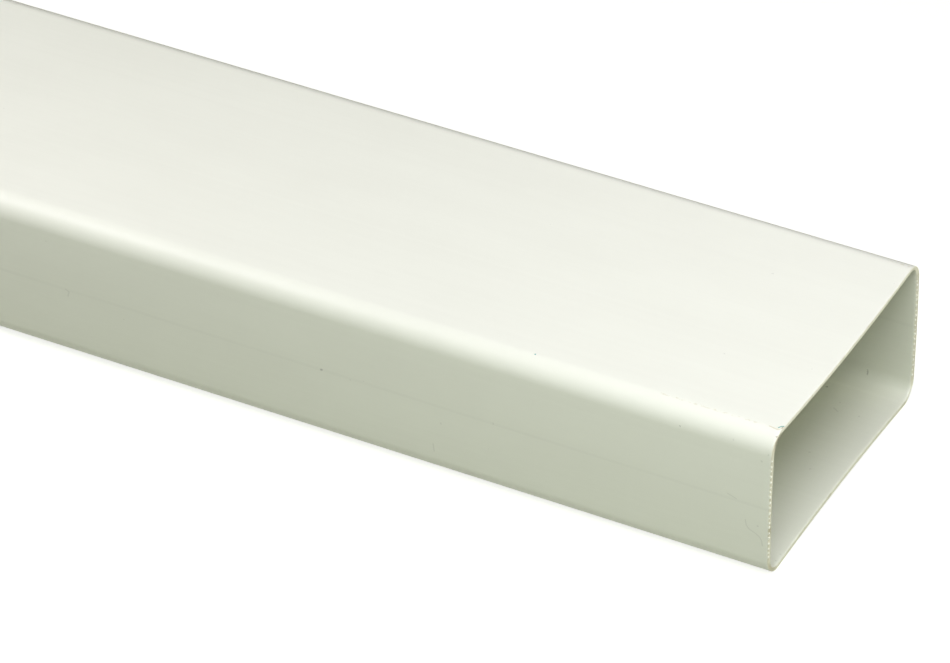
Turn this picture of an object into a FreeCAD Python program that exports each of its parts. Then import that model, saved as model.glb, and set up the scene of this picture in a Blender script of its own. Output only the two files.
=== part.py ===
import FreeCAD, Part
import math
import os

# Flat channel duct: one length of rigid PVC ventilation duct, extruded with an even wall and sawn square.
# As the extrusion cools, its two wide walls draw in between the corners and its two narrow walls swell out,
# so each wall is a shallow arc that runs smoothly into the rounded corners.
# Millimetres. The duct lies on a wide wall along X, with the origin on the floor under its middle.

# Driving dimensions
LENGTH = 1000.0           # one sales length, saw cut to saw cut
OVERALL_WIDTH = 110.0     # across the middles of the narrow walls, where they swell most
OVERALL_HEIGHT = 54.0     # over the crowns of the corners, where the duct is highest
WALL = 1.4                # the same all round
CORNER_RADIUS = 7.0       # outside
WIDE_WALL_DRAW_IN = 1.5   # middle of a wide wall, in from the crowns of its corners
NARROW_WALL_SWELL = 0.4   # middle of a narrow wall, out from the sides of its corners

# Centre of a corner, measured from the middle of the section
CORNER_ACROSS = OVERALL_WIDTH / 2 - NARROW_WALL_SWELL - CORNER_RADIUS
CORNER_UP = OVERALL_HEIGHT / 2 - CORNER_RADIUS


def reach_to_corners(half_span, rise):
    """Distance from the centre of a wall's arc to the centres of the two corners that it touches."""
    return (half_span**2 + rise**2) / (2 * rise)


# Narrow walls curve round a centre far inside the duct, and wide walls round a centre far outside it
NARROW_REACH = reach_to_corners(CORNER_UP, NARROW_WALL_SWELL)
NARROW_RADIUS = NARROW_REACH + CORNER_RADIUS
NARROW_HALF_ANGLE = math.asin(CORNER_UP / NARROW_REACH)
NARROW_CENTRE = (OVERALL_WIDTH / 2 - NARROW_RADIUS, 0.0)

WIDE_REACH = reach_to_corners(CORNER_ACROSS, WIDE_WALL_DRAW_IN)
WIDE_RADIUS = WIDE_REACH - CORNER_RADIUS
WIDE_HALF_ANGLE = math.asin(CORNER_ACROSS / WIDE_REACH)
WIDE_CENTRE = (0.0, OVERALL_HEIGHT / 2 - WIDE_WALL_DRAW_IN + WIDE_RADIUS)


def section_arc(centre, radius, start, end):
    """Arc in the plane of the first saw cut, with angles from across the duct towards up."""
    across, up = centre
    points = []
    for angle in (start, (start + end) / 2, end):
        y = across + radius * math.cos(angle)
        z = OVERALL_HEIGHT / 2 + up + radius * math.sin(angle)
        points.append(FreeCAD.Vector(-LENGTH / 2, y, z))
    return Part.Arc(*points).toShape()


def section_outline(depth):
    """Closed outline of the section, at an even depth inside its outer skin."""
    up = math.pi / 2
    left = math.pi
    corner = CORNER_RADIUS - depth
    half = [
        section_arc(NARROW_CENTRE, NARROW_RADIUS - depth, -NARROW_HALF_ANGLE, NARROW_HALF_ANGLE),
        section_arc((CORNER_ACROSS, CORNER_UP), corner, NARROW_HALF_ANGLE, up + WIDE_HALF_ANGLE),
        section_arc(WIDE_CENTRE, WIDE_RADIUS + depth, WIDE_HALF_ANGLE - up, -WIDE_HALF_ANGLE - up),
        section_arc((-CORNER_ACROSS, CORNER_UP), corner, up - WIDE_HALF_ANGLE, left - NARROW_HALF_ANGLE),
    ]
    middle = FreeCAD.Vector(-LENGTH / 2, 0, OVERALL_HEIGHT / 2)
    along = FreeCAD.Vector(1, 0, 0)
    other_half = [edge.rotated(middle, along, 180) for edge in half]
    return Part.Wire(half + other_half)


def flat_channel_duct():
    """The ring between the outer and the inner outline, extruded from one saw cut to the other."""
    ring = Part.makeFace([section_outline(0.0), section_outline(WALL)], "Part::FaceMakerBullseye")
    return ring.extrude(FreeCAD.Vector(LENGTH, 0, 0))


os.makedirs("parts", exist_ok=True)
flat_channel_duct().exportStep("parts/flat_channel_duct.step")
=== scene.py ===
import math

import bpy
import numpy as np
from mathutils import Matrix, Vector


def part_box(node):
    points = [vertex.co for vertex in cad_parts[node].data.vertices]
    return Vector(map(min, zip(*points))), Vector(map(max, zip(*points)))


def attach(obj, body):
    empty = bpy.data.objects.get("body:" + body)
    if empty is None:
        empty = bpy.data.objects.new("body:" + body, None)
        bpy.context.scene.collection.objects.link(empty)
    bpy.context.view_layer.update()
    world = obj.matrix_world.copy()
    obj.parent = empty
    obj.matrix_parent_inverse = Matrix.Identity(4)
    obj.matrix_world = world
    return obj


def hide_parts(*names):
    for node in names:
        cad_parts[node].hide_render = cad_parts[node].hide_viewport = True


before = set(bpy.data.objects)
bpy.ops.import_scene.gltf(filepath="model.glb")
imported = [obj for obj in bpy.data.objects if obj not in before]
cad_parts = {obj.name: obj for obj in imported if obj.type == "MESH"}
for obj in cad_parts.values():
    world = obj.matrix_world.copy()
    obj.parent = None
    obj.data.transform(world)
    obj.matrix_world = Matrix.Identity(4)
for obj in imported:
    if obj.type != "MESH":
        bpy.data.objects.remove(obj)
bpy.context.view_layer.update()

# Flat channel duct
# One length of rigid PVC, pushed hot through a die, cooled in a sizing box, and sawn square at both ends.
# In cooling, the wide walls draw in between the rounded corners, and the narrow walls swell out a little.
overall_width = 0.110
overall_height = 0.054
wall = 0.0014
corner_radius = 0.007
wide_wall_draw_in = 0.0015
narrow_wall_swell = 0.0004
narrow_wall_steps = 440
corner_steps = 44
wide_wall_steps = 200
back_cut, front_cut = (corner.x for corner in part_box("flat_channel_duct"))

corner_across = overall_width / 2 - narrow_wall_swell - corner_radius
corner_up = overall_height / 2 - corner_radius


def reach_to_corners(half_span, rise):
    """Distance from the centre of a wall's arc to the centres of the two corners that it touches."""
    return (half_span**2 + rise**2) / (2 * rise)


def section_arc(centre, radius, start, end, steps, out=1):
    """Points along one arc of the section, and the way out of the duct at each."""
    angles = np.linspace(start, end, steps, endpoint=False)
    ways = np.column_stack([np.cos(angles), np.sin(angles)])
    return np.hstack([np.array(centre) + radius * ways, out * ways])


def section_outline():
    """The outer outline from the far narrow wall on: rows of across, up, and the way out across and up."""
    narrow_reach = reach_to_corners(corner_up, narrow_wall_swell)
    narrow_radius = narrow_reach + corner_radius
    narrow_turn = math.asin(corner_up / narrow_reach)
    narrow_centre = (overall_width / 2 - narrow_radius, 0)
    wide_reach = reach_to_corners(corner_across, wide_wall_draw_in)
    wide_radius = wide_reach - corner_radius
    wide_turn = math.asin(corner_across / wide_reach)
    wide_centre = (0, overall_height / 2 - wide_wall_draw_in + wide_radius)
    up = math.pi / 2
    left = math.pi
    half = np.vstack([
        section_arc(narrow_centre, narrow_radius, -narrow_turn, narrow_turn, narrow_wall_steps),
        section_arc((corner_across, corner_up), corner_radius, narrow_turn, up + wide_turn, corner_steps),
        section_arc(wide_centre, wide_radius, wide_turn - up, -wide_turn - up, wide_wall_steps, out=-1),
        section_arc((-corner_across, corner_up), corner_radius, up - wide_turn, left - narrow_turn,
                    corner_steps),
    ])
    return np.vstack([half, -half])


outline = section_outline()
outline_points = outline[:, :2] + [0, overall_height / 2]
outline_out = outline[:, 2:]
points_round = len(outline)

# The die leaves fine lines along both skins
die_line_depth = 0.8e-6
rng = np.random.default_rng(54110)
die_lines_outside = rng.normal(0, die_line_depth, points_round)
die_lines_inside = rng.normal(0, die_line_depth, points_round)

# The saw crossed from the far side to the near side, and left crumbs where it came out of each narrow wall.
# Lengths are in metres. A darkening away from the crumb edge, painted shade between the crumbs, soil at the
# corners and pale crumbs with a painted highlight are levels of one value for each point, as ring_at gives
# them
broken_edge = 0.0001
skin_by_the_cut = 0.001
skin_rings = 6
cut_rings = 15
tooth_pitch = 0.00197
tooth_jitter = 0.0003
crumbs_from = 0.0085
crumbs_to = 0.0465
crumb_radius = 0.00052
smallest_crumb = 0.5
largest_crumb = 1.1
crumb_breadth = 1.25
crumb_middle = 0.00022
crumb_height = 0.00035
crumb_edge_width = 0.0010
crumb_edge_fade = 0.5
# Painted shade in the hollows between the crumbs
painted_shade_between_crumbs = 0.6
# The cut darkens away from its crumb edge, more on the far narrow wall
darkening_across_near_cut = 0.5
darkening_across_far_cut = 1.0
darkening_rise = 1.5
soil_at_near_top = 2.75
soil_down_the_side = 0.17
soil_rise = 0.8
soil_at_near_foot = 1.15
foot_soil_fade = 0.5
crumbs_at_far_foot = 0.5
cut_roughness = 8e-6


def crumbs_of_one_wall():
    """Heights and radii of the crumbs up one narrow wall, one to each tooth of the saw."""
    heights = np.arange(crumbs_from, crumbs_to, tooth_pitch)
    heights = heights + rng.uniform(-tooth_jitter, tooth_jitter, len(heights))
    return heights, crumb_radius * rng.uniform(smallest_crumb, largest_crumb, len(heights))


def crumbs_standing(crumbs, heights, from_edge):
    """How much of a round crumb stands at each point of a ring, from 0 beside it to 1 on its top."""
    middles, radii = crumbs
    up = (heights[:, None] - middles) / radii
    across = (from_edge - crumb_middle) / (radii * crumb_breadth)
    return np.sqrt(np.clip(1 - up**2 - across**2, 0, 1)).max(axis=1)


def ring_at(along, depth, sawdust_and_shade=0.0):
    """One ring round the duct at a depth inside its outer skin, as rows of along, across, up and the level
    of the cut's marks.

    That level goes from 1 on a crumb, pale with a painted highlight, over 0 on a clean cut and -1 where the
    cut darkens away from the crumb edge and in the painted shade between the crumbs, to -2 in a soiled
    corner."""
    section = outline_points - outline_out * np.reshape(depth, (-1, 1))
    along = np.broadcast_to(along, points_round)
    sawdust_and_shade = np.broadcast_to(sawdust_and_shade, points_round)
    return np.column_stack([along, section, sawdust_and_shade])


def skin(start, end, depth):
    """Rings along a skin, from close by one saw cut to close by the other."""
    inset = math.copysign(skin_by_the_cut, end - start)
    return [ring_at(along, depth) for along in np.linspace(start + inset, end - inset, skin_rings)]


def sawn_face(cut, inwards, from_depth, to_depth):
    """Rings over a sawn face, with a small broken edge to each skin.

    inwards is the way into the duct along X."""
    heights = outline_points[:, 1]
    near_side = outline_points[:, 0] < 0
    upper_side = outline_out[:, 1] > 0
    upright = outline_out[:, 0] ** 2
    corner = np.abs(2 * outline_out[:, 0] * outline_out[:, 1])
    near_crumbs = crumbs_of_one_wall()
    far_crumbs = crumbs_of_one_wall()
    edge = math.copysign(broken_edge, to_depth - from_depth)
    face = []
    for depth in np.linspace(from_depth + edge, to_depth - edge, cut_rings):
        from_edge = np.where(near_side, depth, wall - depth)
        crumbs = upright * np.where(near_side, crumbs_standing(near_crumbs, heights, depth),
                                    crumbs_standing(far_crumbs, heights, wall - depth))
        crumb_edge = upright * np.clip(1 - from_edge / crumb_edge_width, 0, 1) ** crumb_edge_fade
        hollow = crumb_height * np.clip(crumb_edge - crumbs, 0, 1)
        # The cut darkens away from its crumb edge, and painted shade lies in the hollows between the crumbs
        darkening_across = np.where(near_side, darkening_across_near_cut, darkening_across_far_cut)
        darkening_and_shade = upright * darkening_across * (from_edge / wall) ** darkening_rise
        darkening_and_shade = np.maximum(darkening_and_shade, painted_shade_between_crumbs * (crumb_edge - crumbs))
        near_top_soil = soil_at_near_top * (soil_down_the_side + outline_out[:, 1])
        near_top_soil = near_top_soil * (depth / wall) ** soil_rise
        near_foot_soil = soil_at_near_foot * math.sin(math.pi * depth / wall) ** foot_soil_fade
        corner_soil = np.where(near_side, np.where(upper_side, near_top_soil, near_foot_soil),
                               np.where(upper_side, 0.0, -crumbs_at_far_foot))
        sawdust_and_shade = crumbs - darkening_and_shade * (1 - corner) - corner_soil * corner
        uneven = np.abs(rng.normal(0, cut_roughness, points_round))
        face.append(ring_at(cut + inwards * (hollow + uneven), depth, sawdust_and_shade))
    first = ring_at(face[0][:, 0] + inwards * broken_edge, from_depth, face[0][:, 3])
    last = ring_at(face[-1][:, 0] + inwards * broken_edge, to_depth, face[-1][:, 3])
    return [first] + face + [last]


# The rings run along the outer skin, over the front cut, back along the inner skin and over the back cut
rings = skin(back_cut, front_cut, die_lines_outside)
front_sawn_start = len(rings)
rings += sawn_face(front_cut, -1, 0.0, wall)
front_sawn_end = len(rings) - 1
rings += skin(front_cut, back_cut, wall + die_lines_inside)
back_sawn_start = len(rings)
rings += sawn_face(back_cut, 1, wall, 0.0)
back_sawn_end = len(rings) - 1

# Four-sided faces join each ring to the next, and the last ring to the first
places = np.vstack(rings)
corners = np.arange(len(places)).reshape(len(rings), points_round)
next_ring = np.roll(corners, -1, axis=0)
faces = np.stack([corners, np.roll(corners, -1, axis=1), np.roll(next_ring, -1, axis=1), next_ring], axis=2)
duct_mesh = bpy.data.meshes.new("extruded_duct")
duct_mesh.from_pydata(places[:, :3].tolist(), [], faces.reshape(-1, 4).tolist())
duct_mesh.shade_smooth()
# The level of the cut's marks at each point, with its painted shade and painted highlight
sawdust_and_shade_attribute = duct_mesh.attributes.new("sawdust_and_shade", "FLOAT", "POINT")
sawdust_and_shade_attribute.data.foreach_set("value", places[:, 3].astype(np.float32))

# Both skins and both cuts lie flat on the texture as four strips, one above the other
texture_margin = 0.02
outer_skin_strip = (0.02, 0.46)
inner_skin_strip = (0.48, 0.90)
front_cut_strip = (0.915, 0.94)
back_cut_strip = (0.955, 0.98)
steps_round = np.linalg.norm(np.roll(outline_points, -1, axis=0) - outline_points, axis=1)
share_round = np.append(0, np.cumsum(steps_round)) / steps_round.sum()
texture = np.zeros(faces.shape + (2,), np.float32)


def lay_flat(first_ring, last_ring, strip, is_skin):
    """Gives the faces between two rings a strip of the texture. A skin runs along it, a cut round it."""
    lowest, highest = strip
    for ring in range(first_ring, last_ring):
        here = ring % len(rings)
        after = (ring + 1) % len(rings)
        if is_skin:
            here_share, after_share = ((rings[k][:, 0].mean() - back_cut) / (front_cut - back_cut)
                                       for k in (here, after))
        else:
            here_share, after_share = ((k - first_ring) / (last_ring - first_ring)
                                       for k in (ring, ring + 1))
        for corner, (across, round_from) in enumerate([(here_share, 0), (here_share, 1),
                                                       (after_share, 1), (after_share, 0)]):
            round_share = share_round[round_from:points_round + round_from]
            sideways, upwards = (across, round_share) if is_skin else (round_share, across)
            texture[here, :, corner, 0] = texture_margin + (1 - 2 * texture_margin) * sideways
            texture[here, :, corner, 1] = lowest + (highest - lowest) * upwards


lay_flat(back_sawn_end, len(rings) + front_sawn_start, outer_skin_strip, is_skin=True)
lay_flat(front_sawn_end, back_sawn_start, inner_skin_strip, is_skin=True)
lay_flat(front_sawn_start, front_sawn_end, front_cut_strip, is_skin=False)
lay_flat(back_sawn_start, back_sawn_end, back_cut_strip, is_skin=False)
duct_mesh.uv_layers.new(name="OFBake").data.foreach_set("uv", texture.ravel())
duct = bpy.data.objects.new("extruded_duct", duct_mesh)
bpy.context.scene.collection.objects.link(duct)


def shader_node(tree, kind, inputs, **settings):
    """Adds a node, sets its options, and gives each input a value or a link from another node's output."""
    node = tree.nodes.new(kind)
    for name, value in settings.items():
        setattr(node, name, value)
    for socket, value in inputs.items():
        if isinstance(value, bpy.types.NodeSocket):
            tree.links.new(value, node.inputs[socket])
        else:
            node.inputs[socket].default_value = value
    return node


def worked_out(tree, operation, first, second):
    """A sum, product or other step with two numbers."""
    return shader_node(tree, "ShaderNodeMath", {0: first, 1: second}, operation=operation).outputs[0]


def space_step(tree, operation, first, second):
    """A difference, product, distance or other step with two places or directions."""
    return shader_node(tree, "ShaderNodeVectorMath", {0: first, 1: second}, operation=operation).outputs


def lengthened(tree, direction, factor):
    """A direction made longer or shorter."""
    inputs = {0: direction, "Scale": factor}
    return shader_node(tree, "ShaderNodeVectorMath", inputs, operation="SCALE").outputs[0]


def eased(tree, value, none_at, all_at):
    """Rises smoothly from 0 where the value is none_at to 1 where it is all_at."""
    inputs = {"Value": value, "From Min": none_at, "From Max": all_at}
    return shader_node(tree, "ShaderNodeMapRange", inputs, interpolation_type="SMOOTHSTEP").outputs[0]


def tinted(tree, share, under, over):
    """One colour over another, as far as the share goes."""
    return shader_node(tree, "ShaderNodeMix", {0: share, 6: under, 7: over}, data_type="RGBA").outputs[2]


def cloudy(tree, place, scale, detail=2.0):
    """A soft random pattern from 0 to 1. scale is how many waves go in a metre along, across and up."""
    stretched = space_step(tree, "MULTIPLY", place, scale)[0]
    inputs = {"Vector": stretched, "Scale": 1.0, "Detail": detail}
    return shader_node(tree, "ShaderNodeTexNoise", inputs).outputs["Fac"]


def on_the_skin(along, across, up):
    """The place on the outer or the inner skin that is closest to a rough one."""
    skins = np.vstack([outline_points, outline_points - wall * outline_out])
    closest = np.argmin(np.linalg.norm(skins - (across, up), axis=1))
    return Vector((along, *skins[closest]))


# Marks have uneven edges, and fade out over a share of their radius or half width
ragged_by = 0.0012
ragged_per_metre = 2500.0
speck_full_at = 0.6
speck_gone_at = 1.3
line_full_at = 0.5
line_gone_at = 1.5


def ragged(tree, place):
    """Each place shifted a little at random, so that marks get uneven edges."""
    inputs = {"Vector": place, "Scale": ragged_per_metre, "Detail": 2.0}
    shifts = shader_node(tree, "ShaderNodeTexNoise", inputs).outputs["Color"]
    centred = space_step(tree, "SUBTRACT", shifts, (0.5, 0.5, 0.5))[0]
    return space_step(tree, "ADD", place, lengthened(tree, centred, ragged_by))[0]


def speck(tree, place, along, across, up, radius):
    """1 on a small round spot of the skin, fading to 0 round it."""
    away = space_step(tree, "DISTANCE", place, on_the_skin(along, across, up))["Value"]
    return eased(tree, away, speck_gone_at * radius, speck_full_at * radius)


def scored_line(tree, place, start, end, half_width):
    """1 along a straight line on the skin, fading to 0 beside it."""
    start = on_the_skin(*start)
    run = on_the_skin(*end) - start
    offset = space_step(tree, "SUBTRACT", place, start)[0]
    share = space_step(tree, "DOT_PRODUCT", offset, run / run.length_squared)["Value"]
    share = shader_node(tree, "ShaderNodeClamp", {"Value": share}).outputs[0]
    away = space_step(tree, "DISTANCE", offset, lengthened(tree, run, share))["Value"]
    return eased(tree, away, line_gone_at * half_width, line_full_at * half_width)


def scored_path(tree, place, path, half_width):
    """One scored line for each step along a path."""
    return [scored_line(tree, place, *ends, half_width) for ends in zip(path, path[1:])]


def most_of(tree, masks):
    """The strongest of some masks at each place."""
    strongest = masks[0]
    for mask in masks[1:]:
        strongest = worked_out(tree, "MAXIMUM", strongest, mask)
    return strongest


def up_to(tree, mask, most):
    """A mask that goes from 0 up to a strength, a share or a height, and not to 1."""
    return worked_out(tree, "MULTIPLY", mask, most)


# The satin skin. Waves are in a metre along, across and up, and heights in metres
pvc_pale = (0.823, 0.837, 0.723, 1)
pvc_deep = (0.801, 0.813, 0.701, 1)
pale_below = 0.25
deep_above = 0.75
pvc_ior = 1.53
streak_waves = (1.3, 800, 800)
streak_share = 0.35
streak_height = 1e-6
mottling_waves = (25, 60, 60)
mottling_share = 0.65
fine_detail = 4.0
grain_waves = (1500, 2200, 2200)
grain_height = 1.5e-6
smoothest = 0.29
uneven_roughness = 0.16
worn_roughness = 0.25

# Colours of what handling and storage left on it, and how far each covers the skin
rubbed_colour = (0.56, 0.50, 0.30, 1)
dirt_colour = (0.16, 0.155, 0.12, 1)
scratch_colour = (0.34, 0.34, 0.28, 1)
chip_colour = (0.30, 0.26, 0.17, 1)
teal_colour = (0.04, 0.30, 0.25, 1)
rub_line_strength = 0.09
crown_rub_strength = 0.6
rub_spot_strength = 0.6
scratch_strength = 0.2
scratch_depth = 2e-5
dirt_strength = 0.44
faint_strength = 0.38
chip_strength = 0.7

# Spots as along, across, up and radius, on the near wall, its upper corner, the top and inside the mouth.
# Lines as paths of along, across and up
dirt_specks = [
    (0.3425, -0.055, 0.0275, 0.00042),
    (0.4685, -0.0545, 0.0485, 0.00032),
    (0.4745, 0.0435, 0.0015, 0.00045),
]
dirt_dash = [(0.4844, 0.0530, 0.0056), (0.4846, 0.0524, 0.0042)]
dirt_dash_half_width = 0.00025
faint_specks = [
    (0.353, -0.055, 0.027, 0.00030),
    (0.3855, -0.055, 0.021, 0.00030),
    (0.404, -0.055, 0.0275, 0.00030),
    (0.4865, -0.054, 0.0495, 0.00034),
    (0.4965, -0.0545, 0.045, 0.00036),
    (0.4986, -0.0545, 0.048, 0.00034),
    (0.4665, -0.0195, 0.053, 0.00034),
    (0.4615, 0.0265, 0.053, 0.00034),
    (0.482, 0.0375, 0.002, 0.00034),
    (0.4905, 0.033, 0.002, 0.00034),
    (0.485, 0.0075, 0.003, 0.00034),
    (0.496, -0.055, 0.020, 0.00030),
    (0.4988, -0.043, 0.0017, 0.00034),
    (0.4987, -0.0463, 0.0015, 0.00034),
    (0.489, -0.0005, 0.003, 0.00030),
]

# Scratches on the near wall and inside the mouth
curl_scratch = [(0.4918, -0.055, 0.021), (0.4921, -0.055, 0.0192), (0.493, -0.055, 0.0179),
                (0.4942, -0.055, 0.0173), (0.4957, -0.055, 0.0167), (0.4968, -0.055, 0.0158),
                (0.4975, -0.055, 0.0146), (0.4978, -0.055, 0.0128)]
hook_scratch = [(0.248, -0.055, 0.0275), (0.2493, -0.055, 0.0268), (0.2488, -0.055, 0.025)]
tick_scratch = [(0.3825, -0.055, 0.012), (0.3828, -0.055, 0.009)]
dash_scratch = [(0.4855, -0.055, 0.029), (0.4885, -0.055, 0.028)]
mouth_scratch = [(0.4815, 0.0337, 0.002), (0.4836, 0.0323, 0.002)]
scratch_half_width = 0.0002

# Rubs, a smear and chips on the upper corners by the front cut, and a spot further along
near_crown_rub = [(0.459, -0.0485, 0.054), (0.499, -0.0485, 0.054)]
far_crown_rub = [(0.491, 0.049, 0.054), (0.499, 0.049, 0.054)]
crown_rub_half_width = 0.00035
rub_spot_waves = (900, 900, 900)
rub_spots_above = 0.45
rub_spots_full_at = 0.65
corner_rub = [(0.4958, -0.0482, 0.054), (0.4987, -0.0487, 0.054), (0.4995, -0.0478, 0.054),
              (0.4998, -0.0466, 0.054)]
corner_rub_half_width = 0.0002
teal_smear = [(0.4986, -0.0477, 0.054), (0.4991, -0.0467, 0.054), (0.4997, -0.0462, 0.054)]
teal_smear_half_width = 0.0002
teal_spot = (0.4153, -0.0484, 0.054, 0.00028)
edge_chips = [(0.4997, -0.051, 0.053, 0.00045), (0.4997, -0.047, 0.0535, 0.00040)]

# Dust lies all over, and a rub line runs along each narrow wall
dust_per_metre = 70
dust_radius = 0.00026
dust_full_at = 0.5
dust_gone_at = 1.2
rub_line_up = 0.0275
rub_line_full_at = 0.00024
rub_line_gone_at = 0.0009
rub_line_waves = (30, 1, 400)


def extruded_pvc():
    """Satin off-white PVC with die lines, a rub line along each narrow wall, specks and scratches."""
    material = bpy.data.materials.new("extruded_pvc")
    material.use_nodes = True
    tree = material.node_tree
    shader = tree.nodes["Principled BSDF"]
    place = shader_node(tree, "ShaderNodeTexCoord", {}).outputs["Object"]

    streaks = cloudy(tree, place, streak_waves)
    mottling = cloudy(tree, place, mottling_waves, fine_detail)
    uneven = worked_out(tree, "ADD", up_to(tree, streaks, streak_share),
                        up_to(tree, mottling, mottling_share))
    colour = tinted(tree, eased(tree, uneven, pale_below, deep_above), pvc_pale, pvc_deep)

    up = shader_node(tree, "ShaderNodeSeparateXYZ", {0: place}).outputs["Z"]
    off_line = worked_out(tree, "ABSOLUTE", worked_out(tree, "SUBTRACT", up, rub_line_up), 0.0)
    rub_line = eased(tree, off_line, rub_line_gone_at, rub_line_full_at)
    rub_line = worked_out(tree, "MULTIPLY", rub_line, cloudy(tree, place, rub_line_waves))
    colour = tinted(tree, up_to(tree, rub_line, rub_line_strength), colour, scratch_colour)

    crown_rubs = most_of(tree, [scored_line(tree, place, *ends, crown_rub_half_width)
                                for ends in (near_crown_rub, far_crown_rub)])
    spots = eased(tree, cloudy(tree, place, rub_spot_waves), rub_spots_above, rub_spots_full_at)
    crown_rubs = worked_out(tree, "MULTIPLY", crown_rubs, up_to(tree, spots, rub_spot_strength))
    crown_rubs = most_of(tree, [crown_rubs] + scored_path(tree, place, corner_rub, corner_rub_half_width))
    colour = tinted(tree, up_to(tree, crown_rubs, crown_rub_strength), colour, rubbed_colour)

    scratch_paths = (curl_scratch, hook_scratch, tick_scratch, dash_scratch, mouth_scratch)
    scratches = most_of(tree, [line for path in scratch_paths
                               for line in scored_path(tree, place, path, scratch_half_width)])
    colour = tinted(tree, up_to(tree, scratches, scratch_strength), colour, scratch_colour)

    ragged_place = ragged(tree, place)
    dust = shader_node(tree, "ShaderNodeTexVoronoi", {"Vector": place, "Scale": dust_per_metre})
    dust_reach = dust_radius * dust_per_metre
    dust = eased(tree, dust.outputs["Distance"], dust_gone_at * dust_reach, dust_full_at * dust_reach)
    faint = most_of(tree, [dust] + [speck(tree, ragged_place, *spot) for spot in faint_specks])
    dirt = most_of(tree, [scored_line(tree, ragged_place, *dirt_dash, dirt_dash_half_width)]
                   + [speck(tree, ragged_place, *spot) for spot in dirt_specks])
    dirt = worked_out(tree, "MAXIMUM", dirt, up_to(tree, faint, faint_strength))
    colour = tinted(tree, up_to(tree, dirt, dirt_strength), colour, dirt_colour)

    chips = most_of(tree, [speck(tree, ragged_place, *spot) for spot in edge_chips])
    colour = tinted(tree, up_to(tree, chips, chip_strength), colour, chip_colour)
    teal = most_of(tree, [speck(tree, place, *teal_spot)]
                   + scored_path(tree, place, teal_smear, teal_smear_half_width))
    colour = tinted(tree, teal, colour, teal_colour)

    worn = worked_out(tree, "MAXIMUM", crown_rubs, dirt)
    roughness = worked_out(tree, "ADD", up_to(tree, uneven, uneven_roughness), smoothest)
    roughness = worked_out(tree, "ADD", roughness, up_to(tree, worn, worn_roughness))
    grain = cloudy(tree, place, grain_waves)
    height = worked_out(tree, "ADD", up_to(tree, streaks, streak_height), up_to(tree, grain, grain_height))
    height = worked_out(tree, "SUBTRACT", height, up_to(tree, scratches, scratch_depth))
    bump = shader_node(tree, "ShaderNodeBump", {"Height": height, "Strength": 1.0, "Distance": 1.0})
    tree.links.new(colour, shader.inputs["Base Color"])
    tree.links.new(roughness, shader.inputs["Roughness"])
    tree.links.new(bump.outputs[0], shader.inputs["Normal"])
    shader.inputs["IOR"].default_value = pvc_ior
    return material


# The sawn faces are lighter along the top and darker below. Where their mark level says so, they darken
# away from the crumb edge, take painted shade between the crumbs, are soiled in the corners, and are pale
# on the crumbs with a painted highlight
sawn_colour = (0.92, 0.90, 0.77, 1)
# The cut is lighter along the top wall and darker below it
lower_cut_colour = (0.80, 0.785, 0.665, 1)
darker_below = 0.046
lighter_above = 0.052
# Colour of the dirt smears, and of the darkening and the painted shade on the cut
sawn_dirt_and_shade_colour = (0.42, 0.38, 0.26, 1)
corner_soil_colour = (0.24, 0.21, 0.14, 1)
# Crumbs are pale plastic, with a painted highlight
pale_crumb_and_highlight_colour = (0.985, 0.98, 0.90, 1)
crumbs_above = 0.1
crumbs_full_at = 0.5
darkening_full_at = -1.0
darkening_strength = 0.6
soil_full_at = -2.0
soil_strength = 0.9
smear_waves = (300, 140, 140)
smears_above = 0.55
smears_full_at = 0.9
sawn_grain_waves = (3000, 3000, 3000)
sawn_grain_height = 2e-5
sawn_smoothest = 0.6
smeared_roughness = 0.2


def sawn_pvc():
    """Matt beige PVC with dirt from the saw, lighter along the top, darker away from the crumb edge with
    painted shade between the crumbs, soiled in the corners, and pale on the crumbs with a painted
    highlight.
    """
    material = bpy.data.materials.new("sawn_pvc")
    material.use_nodes = True
    tree = material.node_tree
    shader = tree.nodes["Principled BSDF"]
    place = shader_node(tree, "ShaderNodeTexCoord", {}).outputs["Object"]
    smears = cloudy(tree, place, smear_waves, fine_detail)
    dirt = eased(tree, smears, smears_above, smears_full_at)
    up = shader_node(tree, "ShaderNodeSeparateXYZ", {0: place}).outputs["Z"]
    # Lighter along the top, darker below
    colour = tinted(tree, eased(tree, up, lighter_above, darker_below), sawn_colour, lower_cut_colour)
    colour = tinted(tree, dirt, colour, sawn_dirt_and_shade_colour)
    sawdust_and_shade = shader_node(tree, "ShaderNodeAttribute", {}, attribute_name="sawdust_and_shade").outputs["Fac"]
    # The cut darkens away from the crumb edge, with painted shade between the crumbs
    darkening_and_shade = up_to(tree, eased(tree, sawdust_and_shade, 0.0, darkening_full_at), darkening_strength)
    colour = tinted(tree, darkening_and_shade, colour, sawn_dirt_and_shade_colour)
    soil = up_to(tree, eased(tree, sawdust_and_shade, darkening_full_at, soil_full_at), soil_strength)
    colour = tinted(tree, soil, colour, corner_soil_colour)
    # Pale crumbs, with a painted highlight
    colour = tinted(tree, eased(tree, sawdust_and_shade, crumbs_above, crumbs_full_at), colour, pale_crumb_and_highlight_colour)
    roughness = worked_out(tree, "ADD", up_to(tree, smears, smeared_roughness), sawn_smoothest)
    height = up_to(tree, cloudy(tree, place, sawn_grain_waves), sawn_grain_height)
    bump = shader_node(tree, "ShaderNodeBump", {"Height": height, "Strength": 1.0, "Distance": 1.0})
    tree.links.new(colour, shader.inputs["Base Color"])
    tree.links.new(roughness, shader.inputs["Roughness"])
    tree.links.new(bump.outputs[0], shader.inputs["Normal"])
    shader.inputs["IOR"].default_value = pvc_ior
    return material


duct_mesh.materials.append(extruded_pvc())
duct_mesh.materials.append(sawn_pvc())
sawn = np.zeros((len(rings), points_round), np.int32)
sawn[front_sawn_start:front_sawn_end] = 1
sawn[back_sawn_start:back_sawn_end] = 1
duct_mesh.polygons.foreach_set("material_index", sawn.ravel())
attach(duct, "root")
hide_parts("flat_channel_duct")

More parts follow.
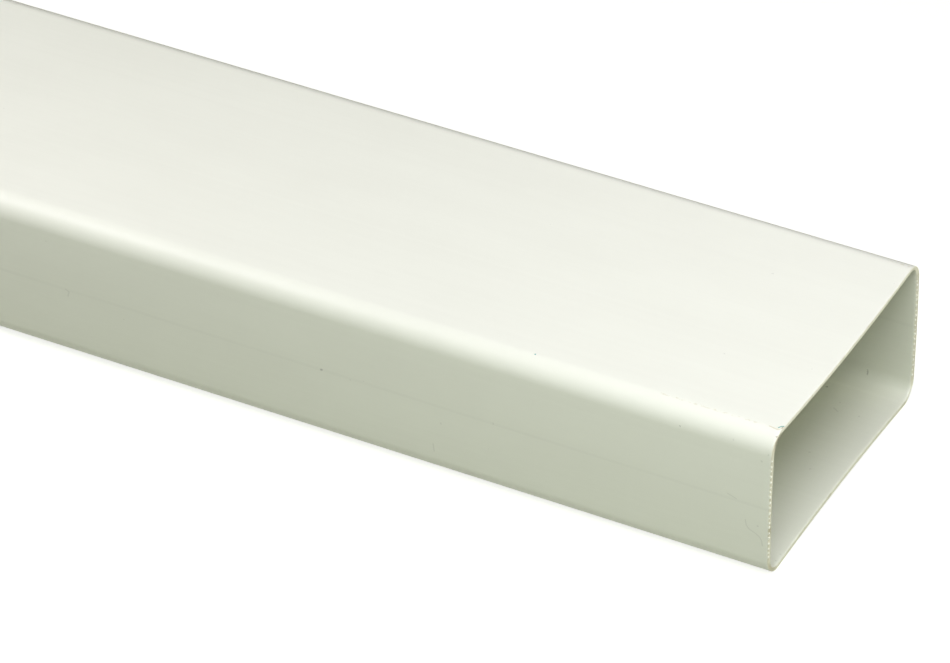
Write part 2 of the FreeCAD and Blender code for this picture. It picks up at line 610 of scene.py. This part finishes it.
# Floor
# A plain pale studio floor that the duct lies on, of matt paper.
# It shows white to the camera, with the duct's soft shadow, and sends little light back up.
floor_half_width = 30.0
floor_colour = (0.44, 0.455, 0.37, 1)
floor_glow = 0.76

floor_mesh = bpy.data.meshes.new("floor")
floor_corners = [(x * floor_half_width, y * floor_half_width, 0)
                 for x, y in ((-1, -1), (1, -1), (1, 1), (-1, 1))]
floor_mesh.from_pydata(floor_corners, [], [(0, 1, 2, 3)])
floor = bpy.data.objects.new("floor", floor_mesh)
bpy.context.scene.collection.objects.link(floor)


def seen_directly(tree):
    """1 for rays that the camera sees, also by a mirror or glass, and 0 for light that falls on things."""
    path = shader_node(tree, "ShaderNodeLightPath", {})
    seen = worked_out(tree, "MAXIMUM", path.outputs["Is Camera Ray"], path.outputs["Is Glossy Ray"])
    return worked_out(tree, "MAXIMUM", seen, path.outputs["Is Transmission Ray"])


floor_material = bpy.data.materials.new("pale_floor")
floor_material.use_nodes = True
floor_tree = floor_material.node_tree
floor_shader = floor_tree.nodes["Principled BSDF"]
floor_shader.inputs["Base Color"].default_value = floor_colour
floor_shader.inputs["Roughness"].default_value = 1.0
floor_shader.inputs["Specular IOR Level"].default_value = 0.0
floor_shader.inputs["Emission Color"].default_value = (1, 1, 1, 1)
floor_tree.links.new(worked_out(floor_tree, "MULTIPLY", seen_directly(floor_tree), floor_glow),
                     floor_shader.inputs["Emission Strength"])
floor_mesh.materials.append(floor_material)

# Studio light
# Softboxes stand close round the duct in a dim room with white walls, most at its near side. One lies on
# the floor behind its far wall, and a low light at each end falls on the sawn faces.
room_level = 0.02

# Each softbox as its name, place, aim, size along and across, power in watts and colour
softboxes = [
    ("near_softbox", Vector((0.0, -0.10, 0.30)), Vector((0.0, -0.02, 0.04)),
     (0.4, 0.1), 0.195, (0.92, 0.87, 0.96)),
    ("low_softbox", Vector((0.10, -0.10, 0.25)), Vector((0.10, -0.02, 0.04)),
     (0.4, 0.1), 0.235, (0.92, 0.87, 0.97)),
    ("back_softbox", Vector((-0.35, -0.10, 0.30)), Vector((-0.35, -0.02, 0.04)),
     (0.4, 0.1), 0.40, (1.0, 0.96, 0.98)),
    ("front_softbox", Vector((0.60, -0.35, 0.45)), Vector((0.54, 0, 0.04)),
     (0.3, 0.3), 1.38, (0.94, 0.975, 0.99)),
    ("wide_softbox", Vector((0.75, -0.45, 0.75)), Vector((0.40, 0, 0.04)),
     (0.6, 0.6), 1.57, (0.88, 1.0, 0.89)),
    ("back_wide_softbox", Vector((-0.50, -0.45, 0.75)), Vector((-0.38, 0, 0.04)),
     (0.6, 0.6), 1.05, (0.96, 1.0, 0.94)),
    ("end_softbox", Vector((0.55, 0.01, 0.45)), Vector((0.505, 0, 0.04)),
     (0.3, 0.3), 1.06, (0.89, 0.83, 1.0)),
    ("back_end_softbox", Vector((-0.55, 0.05, 0.45)), Vector((-0.505, 0, 0.04)),
     (0.3, 0.3), 0.60, (0.97, 0.97, 1.0)),
    ("foot_light", Vector((0.0, 0.088, 0.001)), Vector((0.0, 0.088, 1.0)),
     (1.0, 0.056), 0.28, (1.0, 1.0, 1.0)),
]

# Each low light as its name, level, colour and the way to it
low_light_spread = math.radians(30)
low_lights = [
    ("front_low_light", 0.30, (0.97, 0.98, 0.76), Vector((0.966, 0, 0.259))),
    ("back_low_light", 0.22, (0.97, 0.98, 0.76), Vector((-0.996, 0, 0.087))),
]

world = bpy.data.worlds.new("studio")
bpy.context.scene.world = world
world.use_nodes = True
world_tree = world.node_tree
room = world_tree.nodes["Background"]
room.inputs["Color"].default_value = (room_level, room_level, room_level, 1)
white = shader_node(world_tree, "ShaderNodeBackground", {"Color": (1, 1, 1, 1), "Strength": 1.0})
walls = shader_node(world_tree, "ShaderNodeMixShader",
                    {0: seen_directly(world_tree), 1: room.outputs[0], 2: white.outputs[0]})
world_tree.links.new(walls.outputs[0], world_tree.nodes["World Output"].inputs["Surface"])

for name, level, colour, way in low_lights:
    low_lamp = bpy.data.lights.new(name, "SUN")
    low_lamp.energy = level * math.pi
    low_lamp.color = colour
    low_lamp.angle = low_light_spread
    low_light = bpy.data.objects.new(name, low_lamp)
    low_light.rotation_euler = way.to_track_quat("Z", "Y").to_euler()
    bpy.context.scene.collection.objects.link(low_light)

for name, place, aim, (along, across), power, colour in softboxes:
    softbox_lamp = bpy.data.lights.new(name, "AREA")
    softbox_lamp.energy = power
    softbox_lamp.color = colour
    softbox_lamp.shape = "RECTANGLE"
    softbox_lamp.size = along
    softbox_lamp.size_y = across
    softbox = bpy.data.objects.new(name, softbox_lamp)
    softbox.location = place
    softbox.rotation_euler = (place - aim).to_track_quat("Z", "Y").to_euler()
    softbox.visible_camera = False
    bpy.context.scene.collection.objects.link(softbox)

# Dark card
# A black card lies on the floor behind the duct and stands up at its far side. Only the gloss shows it:
# it darkens the sheen along the far upper corner.
dark_card_back = -0.75
dark_card_front = 0.52
dark_card_near = 0.056
dark_card_far = 0.50
dark_card_height = 0.22
dark_card_gap = 0.0005
card_colour = (0.02, 0.02, 0.02, 1)

card_profile = [(dark_card_near, dark_card_gap), (dark_card_far, dark_card_gap),
                (dark_card_far, dark_card_height)]
card_mesh = bpy.data.meshes.new("dark_card")
card_mesh.from_pydata([(x, y, z) for y, z in card_profile for x in (dark_card_back, dark_card_front)],
                      [], [(0, 1, 3, 2), (2, 3, 5, 4)])
card = bpy.data.objects.new("dark_card", card_mesh)
card.visible_camera = False
card.visible_diffuse = False
card.visible_transmission = False
card.visible_shadow = False
bpy.context.scene.collection.objects.link(card)
card_material = bpy.data.materials.new("dark_card")
card_material.use_nodes = True
card_shader = card_material.node_tree.nodes["Principled BSDF"]
card_shader.inputs["Base Color"].default_value = card_colour
card_shader.inputs["Specular IOR Level"].default_value = 0.0
card_mesh.materials.append(card_material)

# Camera
# A long lens above the near side, looking down on the sawn end.
# The frame's left edge cuts the duct off after about a third of its length.
camera_place = (1.09165, -1.37609, 1.14181)
camera_azimuth = math.radians(27.716)
camera_elevation = math.radians(35.915)
sensor_width = 36
lens_length = 224.8

camera_lens = bpy.data.cameras.new("camera")
camera_lens.sensor_width = sensor_width
camera_lens.lens = lens_length
camera = bpy.data.objects.new("camera", camera_lens)
camera.location = camera_place
camera.rotation_euler = (math.pi / 2 - camera_elevation, 0, camera_azimuth)
bpy.context.scene.collection.objects.link(camera)
bpy.context.scene.camera = camera

bpy.context.scene.view_settings.view_transform = "Standard"
